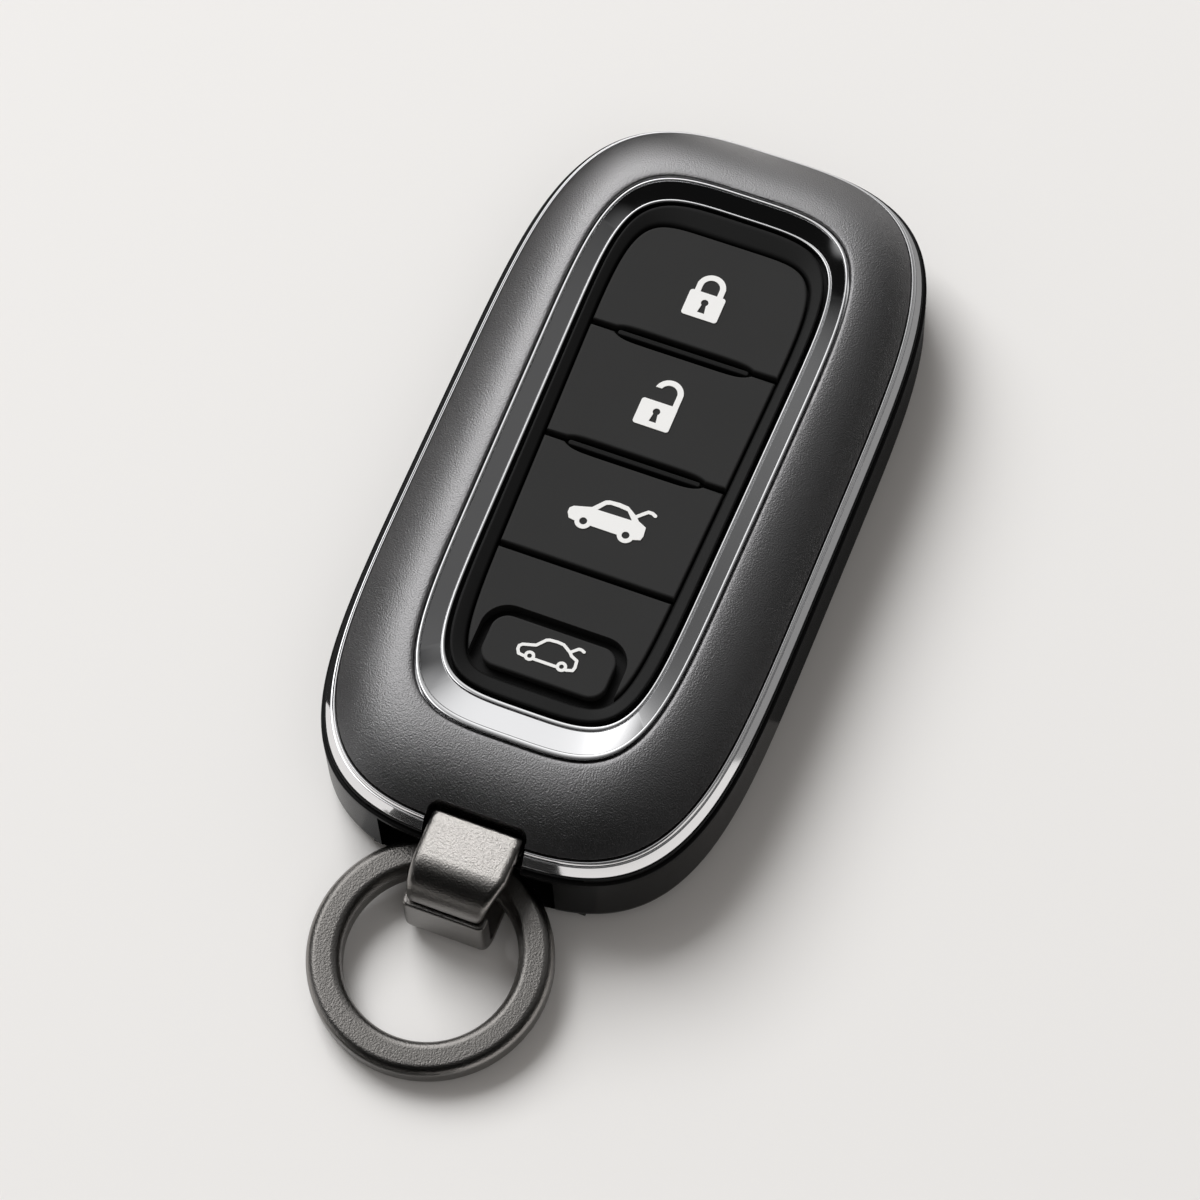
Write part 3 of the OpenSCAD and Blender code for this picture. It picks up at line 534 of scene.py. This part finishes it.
# How far in and how far below its top each row of a pad lies, above its foot
PAD_EDGE = [(0.0, -0.3), (0.02, -0.2), (0.07, -0.09), (0.16, -0.02), (0.28, 0.0)]


def soft_pad(name, foot, shape):
    """Pad with rounded edges, where shape gives its points at an inset."""
    levels = [(0.0, foot)] + [(inset, KEY_Z + drop) for inset, drop in PAD_EDGE]
    return loft(name, [[(x, y, z) for x, y in shape(inset)] for inset, z in levels], False)


def pad(name, foot, *place):
    """Pad that fills one button's field, whose place is given as in field."""
    return soft_pad(name, foot, lambda inset: field(inset, *place))


def plunger(y):
    """Post under a pad that presses the fob's own key."""
    return plate("post", circle((0, y), PLUNGER_R), WEB_Z - WEB_T - PLUNGER_REACH, PAD_Z + SINK)


def button(name, node, body):
    """A pad and its plunger, shown in place of the CAD button."""
    whole = join(name, [body, plunger(centres[node])])
    even_normals(whole)
    stand_for(whole, node)


def hatch_outline(inset):
    """Outline of the small button, drawn in by an inset."""
    x, y = HATCH_W / 2 - inset, hatch_run / 2 - inset
    return round_plate(-x, hatch_y - y, x, hatch_y + y, HATCH_R - inset)


hatch_y = centres["hatch_button"]
button("lock_pad", "lock_button", pad("pad", PAD_Z, divide_1, keys_high, FAR_GAP, 0, True, False))
button("unlock_pad", "unlock_button", pad("pad", PAD_Z, divide_2, divide_1, FAR_GAP, NEAR_GAP, False, False))
button("trunk_pad", "trunk_button", pad("pad", PAD_Z, divide_3, divide_2, 0, NEAR_GAP, False, False))
button("hatch_pad", "hatch_button", soft_pad("pad", PAD_Z, hatch_outline))
panel = pad("panel_below", WEB_Z + WEB_GAP, keys_low, divide_3, 0, 0, False, True)
slot_x = HATCH_W / 2 + MOAT
slot_top = hatch_y + hatch_run / 2 + MOAT
slot_outline = round_plate(-slot_x, keys_low - SLOT_REACH, slot_x, slot_top, HATCH_R + MOAT)
combine(panel, plate("slot", slot_outline, WEB_Z - OVER, KEY_Z + OVER))
soften_edges(panel, PANEL_EDGE, 3, SHARP_TURN)
stand_for(panel, "lower_panel")

# Back shell: a cup with a rounded lower edge and a recess behind the ring
BACK_OUT, WALL_T, FLOOR_T, EDGE_R, BACK_H = 1.45, 1.45, 1.2, 2.6, 9.7
BACK_BEND_STEPS, BACK_TOP_R = 14, 0.22
RECESS_W, RECESS_D, RECESS_T, RIM_STRIP = 19.8, 3.15, 1.2, 0.6
BLOCK_L, BLOCK_SHARE = 7.7, 0.8
RING_X, HOOK_X, HOOK_W = -0.9, -0.6, 9.2
TONGUE_W, TONGUE_Z, TONGUE_T, TONGUE_REACH = 7.2, 4.2, 1.0, 1.1
inner_r = EDGE_R - WALL_T
back_top = [(BACK_OUT, BACK_H - 1, 0), (BACK_OUT, BACK_H, BACK_TOP_R), (BACK_OUT - WALL_T, BACK_H, 0)]
back_line = arc((BACK_OUT - EDGE_R, EDGE_R), EDGE_R, -90, 0, BACK_BEND_STEPS)
back_line += rounded(back_top, closed=False)
back_line += arc((BACK_OUT - WALL_T - inner_r, FLOOR_T + inner_r), inner_r, 0, -90, 6)
back = ring_of("back_cup", back_line, lambda u: grow(CASE, u), closed=False)
recess_y = -CASE.half_l + RECESS_D
block_x = RECESS_W / 2 + RECESS_T + abs(RING_X)
block_y = recess_y + RECESS_T
block = plate("block", rectangle(block_x, -CASE.half_l - SINK, block_y), FLOOR_T * BLOCK_SHARE, BACK_H)
screw_y = (block_y - CASE.half_l + BLOCK_L) / 2
combine(back, block, "UNION")
combine(back, end_notch(RING_X, RECESS_W, RECESS_D, NOTCH_R, FLOOR_T, BACK_H - RIM_STRIP))
combine(back, end_notch(0, NOTCH_W, RECESS_D, NOTCH_R, BACK_H - RIM_STRIP - OVER, BACK_H + OVER))
combine(back, end_notch(HOOK_X, HOOK_W + FIT, RECESS_D, GAP, -OVER, FLOOR_T + OVER))
tongue_gap = rectangle(TONGUE_W / 2 + GAP, recess_y - OVER, block_y + OVER)
combine(back, plate("gap", tongue_gap, TONGUE_Z - GAP, TONGUE_Z + TONGUE_T + GAP))
even_normals(back)
stand_for(back, "back_shell")

# Loop: the strap turns on a pin in the hook's lug, and the hook is held in the back shell's recess
STRAP_LOW_W, STRAP_T, STRAP_R, STRAP_TOP, STRAP_END = 8.4, 1.4, 4.0, 12.3, 8.0
KNUCKLE_R, PIN_R, PIN_GAP, LUG_WALL, LUG_W, HEEL_L = 1.35, 0.4, 0.05, 0.4, 3.4, 1.2
NOSE_Y, NOSE_T, NOSE_GAP, NOSE_STEP = -CASE.half_l - 8.1, 1.7, 0.45, 0.4
ARM_LIFT, ARM_T, HOOK_R, FOOT_R, PLATE_T, PLATE_GAP = 0.3, 1.1, 2.4, 1.2, 0.7, 0.02
STRAP_EDGE, HOOK_EDGE, HOOK_CORNER, UNDER_EDGE, KNUCKLE_EDGE = 0.93, 0.75, 1.5, 0.3, 0.62
SLOT_RISE, SLOT_FROM, SLOT_TO = 0.3, 20, 160
BEND_STEPS, HOOK_STEPS, SECTION_STEPS = 24, 16, 8
# Rows at the bars' ends: how far each is drawn in at the sides and faces, and its distance from the end
HEEL_ROWS = [(0.16, 0.34, 0), (0.08, 0.16, 0.05), (0.03, 0.05, 0.16), (0, 0, 0.36)]
TIP_ROWS = [(0, 0, 0.3), (0.02, 0.02, 0.14), (0.09, 0.08, 0.04), (0.2, 0.2, 0)]
NOSE_ROWS = [(0.3, 0.3, 0), (0.14, 0.14, 0.04), (0.04, 0.04, 0.14), (0, 0, 0.3)]
strap_y = NOSE_Y + NOSE_STEP
pin_y = -CASE.half_l + NOTCH_D - NOTCH_GAP - KNUCKLE_R
pin_z = STRAP_TOP - KNUCKLE_R
lug_r = PIN_R + LUG_WALL
bend = (strap_y + STRAP_R, STRAP_TOP - STRAP_R)


def bar_section(half, thick, drop, edge):
    """Section of a flat bar with soft edges, softest on its outer face."""
    low = drop - thick
    corners = [(-half, low, UNDER_EDGE), (half, low, UNDER_EDGE), (half, -drop, edge), (-half, -drop, edge)]
    return rounded(corners, steps=SECTION_STEPS)


def strap_row(y, z, lean, lap=0.0, drop=0.0):
    """The strap's section where its outer face leans by an angle, from flat at 0 to upright at 90."""
    share = lean / 90
    middle = HOOK_X * share
    half = (STRAP_W * (1 - share) + STRAP_LOW_W * share) / 2 - lap
    section = bar_section(half, STRAP_T, drop, STRAP_EDGE)
    a = math.radians(lean)
    return [(middle + x, y - h * math.sin(a), z + h * math.cos(a)) for x, h in section]


def barrel(half, r, edge):
    """Round body on the pin, with rounded ends."""
    near_end = arc((-half + edge, r - edge), edge, 180, 90, 6)
    far_end = arc((half - edge, r - edge), edge, 90, 0, 6)
    side = [(-half, 0.0), *near_end, *far_end, (half, 0.0)]
    rows = []
    for i in range(BARREL_STEPS):
        a = math.tau * i / BARREL_STEPS
        rows.append([(x, pin_y + v * math.cos(a), pin_z + v * math.sin(a)) for x, v in side])
    return loft("barrel", rows, True)


heel_y = pin_y + HEEL_L
strap_rows = [strap_row(heel_y - inward, STRAP_TOP, 0, lap, drop) for lap, drop, inward in HEEL_ROWS]
strap_rows += [strap_row(y, STRAP_TOP, 0) for y in (pin_y, (pin_y + bend[0]) / 2)]
for i in range(BEND_STEPS + 1):
    lean = 90 * i / BEND_STEPS
    a = math.radians(lean)
    strap_rows.append(strap_row(bend[0] - STRAP_R * math.sin(a), bend[1] + STRAP_R * math.cos(a), lean))
strap_rows += [strap_row(strap_y, STRAP_END + inward, 90, lap, drop) for lap, drop, inward in TIP_ROWS]
strap = loft("strap", strap_rows[::-1], False)
combine(strap, barrel(STRAP_W / 2, KNUCKLE_R, KNUCKLE_EDGE), "UNION")
slot_low = pin_z - STRAP_R
slot_back = pin_y + 2 * KNUCKLE_R
slot_side = arc((pin_y, pin_z), lug_r + GAP, SLOT_FROM, SLOT_TO, HOOK_STEPS)
slot_side += [(pin_y - lug_r - GAP, slot_low), (slot_back, slot_low), (slot_back, pin_z + SLOT_RISE)]
combine(strap, prism("slot", slot_side, LUG_W + FIT))
combine(strap, prism("bore", circle((pin_y, pin_z), PIN_R + PIN_GAP), STRAP_W + OVER))
even_normals(strap)
stand_for(strap, "loop_strap")

hook_back = recess_y - PLATE_GAP
plate_y = hook_back - PLATE_T
arm_z = ARM_LIFT + ARM_T
nose_top = STRAP_END - NOSE_GAP
foot_z = pin_z - 2 * KNUCKLE_R
root_z = foot_z - KNUCKLE_R


def hook_row(y, z, lean, thick, lap=0.0, drop=0.0):
    """The hook's section with its outer face along an angle, 180 at the nose and 360 at the back plate."""
    share = (1 - math.cos(math.radians(2 * (lean - 180)))) / 2
    edge = HOOK_EDGE + (HOOK_CORNER - HOOK_EDGE) * share
    section = bar_section(HOOK_W / 2 - lap, thick, drop, edge)
    a = math.radians(lean)
    return [(HOOK_X - x, y + h * math.cos(a), z + h * math.sin(a)) for x, h in section]


def hook_bend(y, z, r, start, thick, end_thick):
    """Rows round a quarter turn of the hook."""
    rows = []
    for i in range(HOOK_STEPS + 1):
        lean = start + 90 * i / HOOK_STEPS
        a = math.radians(lean)
        t = thick + (end_thick - thick) * i / HOOK_STEPS
        rows.append(hook_row(y + r * math.cos(a), z + r * math.sin(a), lean, t))
    return rows


hook_rows = [hook_row(NOSE_Y, nose_top - inward, 180, NOSE_T, lap, drop) for lap, drop, inward in NOSE_ROWS]
hook_rows += hook_bend(NOSE_Y + HOOK_R, ARM_LIFT + HOOK_R, HOOK_R, 180, NOSE_T, ARM_T)
hook_rows += hook_bend(hook_back - FOOT_R, ARM_LIFT + FOOT_R, FOOT_R, 270, ARM_T, PLATE_T)
hook_rows.append(hook_row(hook_back, foot_z, 360, PLATE_T))
arm = loft("arm", hook_rows, False)
latch_from = NOSE_Y + NOSE_T - SINK
latch_y = strap_y + STRAP_T + GAP
latch_end = latch_y + STRAP_T / 2
latch_side = [
    (latch_from, nose_top - STRAP_T), (latch_y, nose_top - STRAP_T),
    (latch_end, nose_top - STRAP_T / 2), (latch_end, nose_top + STRAP_T),
    (latch_y, nose_top + STRAP_T), (latch_y, nose_top), (latch_from, nose_top),
]
lug_side = arc((pin_y, pin_z), lug_r, 0, 180, HOOK_STEPS)
lug_side += [(pin_y - lug_r, foot_z), (plate_y, root_z), (hook_back, root_z)]
lug_side += [(hook_back, foot_z), (pin_y + lug_r, foot_z)]
tongue_end = screw_y + TONGUE_REACH
tongue_top = TONGUE_Z + TONGUE_T
tongue_side = [(plate_y, TONGUE_Z), (tongue_end, TONGUE_Z), (tongue_end, tongue_top), (plate_y, tongue_top)]
hook = join("hook", [
    arm,
    prism("latch", latch_side, STRAP_LOW_W / 2, HOOK_X),
    prism("lug", lug_side, LUG_W),
    prism("tongue", tongue_side, TONGUE_W),
])
even_normals(hook)
stand_for(hook, "ring_hook")

# Key ring: a plain closed ring of square wire with round corners, one side in the hook and one on the table
RING_R, RING_GAP, WIRE_R, WIRE_EDGE = 11.08, 0.25, 1.86, 1.1
wire_reach = (WIRE_R - WIRE_EDGE) * math.sqrt(2) + WIRE_EDGE
wire_y = plate_y - RING_GAP - wire_reach
wire_z = arm_z + wire_reach + RING_GAP
tilt = math.asin((wire_z - WIRE_R) / (2 * RING_R))
ring_centre = Vector((RING_X, wire_y - RING_R * math.cos(tilt), wire_z - RING_R * math.sin(tilt)))
turn = Matrix.Rotation(tilt, 3, "X")
ring_rows = []
for i in range(RING_STEPS):
    a = math.tau * i / RING_STEPS
    out = Vector((math.cos(a), math.sin(a), 0))
    row = []
    for x, z in round_plate(RING_R - WIRE_R, -WIRE_R, RING_R + WIRE_R, WIRE_R, WIRE_EDGE):
        row.append(tuple(ring_centre + turn @ (out * x + Vector((0, 0, z)))))
    ring_rows.append(row)
ring = loft("closed_ring", ring_rows, True)
even_normals(ring)
stand_for(ring, "key_ring")

# Table, and cards on it that only reflections see, as painted reflections: a grey one under the ring and
# darker ones at the sides and in front
FLOOR, FLOOR_Z, CARD_Z, RING_CARD_R = 2000, -0.02, 0.1, 17.5
REFLECTION_CARDS = {
    "ring_reflection_card": (0.6, circle((ring_centre.x, ring_centre.y), RING_CARD_R)),
    "side_reflection_card": (0.02, [(-19, -28), (-19, 150), (-140, 150), (-140, -60)]),
    "right_reflection_card": (0.28, [(19, -15), (140, -30), (140, 150), (-5, 150), (-5, 47), (19, 47)]),
    "front_reflection_card": (0.02, [(-25, -69.5), (-30, -140), (15, -140), (12, -69.5)]),
}


def sheet(name, corners, z, colour, rough):
    """Flat matt sheet at a height above the table."""
    mesh = bpy.data.meshes.new(name)
    mesh.from_pydata([Vector((x, y, z)) * MM for x, y in corners], [], [range(len(corners))])
    mesh.materials.append(finish(name, colour, 0.0, rough, 2.0, 0.02, rough_spread=0.02, specular=0.05))
    return placed(name, mesh)


floor = sheet("floor", rectangle(FLOOR, -FLOOR, FLOOR), FLOOR_Z, (0.84, 0.83, 0.818), 0.85)
for name, (grey, corners) in REFLECTION_CARDS.items():
    card = sheet(name, corners, CARD_Z, (grey, grey, grey), 0.9)
    # Only reflections see the cards: they are painted reflections, not things on the table
    card.visible_camera = card.visible_diffuse = card.visible_shadow = card.visible_transmission = False

# World: one colour behind the scene, one for matt surfaces, and a dark room with soft lights for reflections
BACKGROUND = (0.845, 0.838, 0.828)
AMBIENT, DARK = (0.212, 0.2, 0.19), 0.005
# Each light's azimuth, height and reach in degrees, the cosine where it would be full, and its power
LOBES = {
    "window": (212.5, 38, 37.5, 1.329, 4.0),
    "window_core": (216.5, 36.5, 17, 0.987, 0.7),
    "window_foot": (222, 14, 30, 1.165, 0.9),
    "ceiling": (179.5, 60.5, 55.5, 1.264, 0.21),
    "left_panel": (256.5, 57.5, 19.5, 0.978, 1.6),
    "left_corner": (297, 11.5, 25.5, 0.991, 0.5),
    "right_panel": (123, 43, 26, 1.0, 0.08),
    "far_wall": (173, 19, 26, 1.0, 0.3),
}


def sky(azimuth, height):
    """Direction of a place in the sky in degrees, with azimuth 0 before the case and 90 at its right."""
    a, h = math.radians(azimuth), math.radians(height)
    return Vector((math.sin(a) * math.cos(h), -math.cos(a) * math.cos(h), math.sin(h)))


world = bpy.data.worlds.new("studio")
bpy.context.scene.world = world
world.use_nodes = True
nodes, links = world.node_tree.nodes, world.node_tree.links
nodes.clear()
place = nodes.new("ShaderNodeTexCoord")
path = nodes.new("ShaderNodeLightPath")


def backdrop(colour):
    """Background shader of one colour."""
    shader = nodes.new("ShaderNodeBackground")
    constant(shader, "Color", (*colour, 1))
    return shader.outputs["Background"]


def choose(ray, other, chosen):
    """One shader for rays of a kind, and another for the rest."""
    mixer = nodes.new("ShaderNodeMixShader")
    links.new(path.outputs[ray], mixer.inputs["Fac"])
    links.new(other, mixer.inputs[1])
    links.new(chosen, mixer.inputs[2])
    return mixer.outputs["Shader"]


total = nodes.new("ShaderNodeValue")
total.outputs["Value"].default_value = DARK
for azimuth, height, reach, full, power in LOBES.values():
    aim = nodes.new("ShaderNodeVectorMath")
    aim.operation = "DOT_PRODUCT"
    constant(aim, 1, sky(azimuth, height))
    links.new(place.outputs["Generated"], aim.inputs[0])
    spread = nodes.new("ShaderNodeMapRange")
    spread.interpolation_type = "SMOOTHSTEP"
    constant(spread, "From Min", math.cos(math.radians(reach)))
    constant(spread, "From Max", full)
    constant(spread, "To Max", power)
    links.new(aim.outputs["Value"], spread.inputs["Value"])
    add = nodes.new("ShaderNodeMath")
    add.operation = "ADD"
    links.new(total.outputs["Value"], add.inputs[0])
    links.new(spread.outputs["Result"], add.inputs[1])
    total = add
studio = nodes.new("ShaderNodeBackground")
links.new(total.outputs["Value"], studio.inputs["Color"])
soft = choose("Is Diffuse Ray", studio.outputs["Background"], backdrop(AMBIENT))
out = nodes.new("ShaderNodeOutputWorld")
links.new(choose("Is Camera Ray", soft, backdrop(BACKGROUND)), out.inputs["Surface"])

# Lamps in metres and watts: one with pieces shows only in their reflections, the rest only on matt surfaces
LAMPS = {
    "key": ((-1.35, 0.95, 1.7), 1.5, 1.5, 53.0, []),
    "fill": ((1.2, -1.0, 2.2), 1.5, 1.5, 5.0, []),
    "strap_glow": ((-0.03, 0.02, 0.15), 0.06, 0.04, 0.034, [strap]),
    "shell_glow": ((0.5, -0.83, 0.35), 1.4, 0.6, 0.25, [front, band, bezel]),
}
for name, (place, width, height, power, pieces) in LAMPS.items():
    data = bpy.data.lights.new(name, "AREA")
    data.shape, data.size, data.size_y, data.energy = "RECTANGLE", width, height, power
    light = placed(name, data)
    light.location = place
    light.rotation_mode = "QUATERNION"
    light.rotation_quaternion = Vector(place).to_track_quat("Z", "Y")
    light.visible_glossy, light.visible_diffuse = bool(pieces), not pieces
    if pieces:
        shown = bpy.data.collections.new(name + "_pieces")
        for piece in pieces:
            shown.objects.link(piece)
        light.light_linking.receiver_collection = shown

# Camera, fitted to the photograph's outlines
AZIMUTH, ELEVATION, ROLL = 25.114, 63.599, math.radians(-3.861)
DISTANCE, LENS, SENSOR = 473.03, 131.98, 36.0
LOOK_AT = Vector((0.502, -10.574, 4.13))
toward = sky(AZIMUTH, ELEVATION)
right = (-toward).cross(Vector((0, 0, 1))).normalized()
up = right.cross(-toward)
across = right * math.cos(ROLL) + up * math.sin(ROLL)
upward = up * math.cos(ROLL) - right * math.sin(ROLL)
data = bpy.data.cameras.new("camera")
data.lens, data.sensor_width, data.clip_start = LENS, SENSOR, 0.01
camera = placed("camera", data)
turned = Matrix((across, upward, toward)).transposed().to_4x4()
camera.matrix_world = Matrix.Translation((LOOK_AT + toward * DISTANCE) * MM) @ turned
bpy.context.scene.camera = camera
bpy.context.scene.view_settings.view_transform = "Standard"
